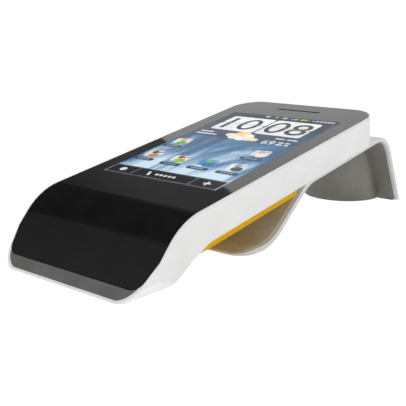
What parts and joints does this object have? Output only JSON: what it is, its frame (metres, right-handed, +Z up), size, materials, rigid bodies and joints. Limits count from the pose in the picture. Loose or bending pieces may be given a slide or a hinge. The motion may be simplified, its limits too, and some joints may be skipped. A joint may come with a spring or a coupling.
{
  "type": "card payment terminal",
  "caption": "Touch-screen card payment terminal: a cover glass bent over a wedge-nosed white body, screwed to a curved ribbon stand with a dark rear pod.",
  "frame": {"origin": "on the table, below the middle of the whole object's box", "axes": "+X to the right of a person facing the screen, +Y to the rear, +Z up"},
  "size_m": [0.078, 0.2036, 0.0513],
  "materials": {
    "cover_glass": "gloss",
    "lip_grey": "satin",
    "shell_white": "satin",
    "display": "gloss",
    "frame_metal": "satin",
    "board_green": "matt",
    "screw_steel": "satin",
    "shield_tin": "satin",
    "battery_black": "matt",
    "door_yellow": "satin",
    "antenna_copper": "satin",
    "speaker_black": "matt",
    "mesh_steel": "matt",
    "port_steel": "satin",
    "key_grey": "satin",
    "ribbon_white": "satin",
    "liner_dark": "matt",
    "liner_olive": "matt",
    "pod_dark": "satin",
    "weight_iron": "matt",
    "foot_rubber": "matt"
  },
  "bodies": {
    "terminal": {"front_glass": "cover_glass", "chin_trim": "lip_grey", "body_shell": "shell_white", "display_panel": "display", "display_frame": "frame_metal", "main_board": "board_green", "board_screws": "screw_steel", "secure_module": "shield_tin", "radio_shield": "shield_tin", "battery_pack": "battery_black", "battery_door": "door_yellow", "contactless_antenna": "antenna_copper", "loudspeaker": "speaker_black", "earpiece_mesh": "mesh_steel", "coin_cell": "shield_tin", "vibration_motor": "shield_tin", "charge_port": "port_steel", "power_switch": "screw_steel", "volume_switch": "screw_steel", "stand_ribbon": "ribbon_white", "leg_liner": "liner_dark", "trough_liner": "liner_olive", "rear_pod": "pod_dark", "pod_base": "pod_dark", "pod_weight": "weight_iron", "pod_screws": "screw_steel", "belly_foot": "foot_rubber", "toe_foot": "foot_rubber", "leg_foot": "foot_rubber", "stand_screws": "screw_steel"},
    "power_key": {"power_key": "key_grey"},
    "volume_rocker": {"volume_rocker": "key_grey"}
  },
  "joints": [
    {"name": "power_press", "type": "slide", "parent": "terminal", "child": "power_key", "axis": [0, -0.9842, -0.1771], "range_m": [0, 0.0004], "stiffness_N_per_m": 4000},
    {"name": "volume_tip", "type": "hinge", "parent": "terminal", "child": "volume_rocker", "pos_m": [-0.036, 0.01708, 0.03592], "axis": [0, -0.1771, 0.9842], "range_deg": [-1.5, 1.5], "stiffness_Nm_per_rad": 0.5}
  ]
}
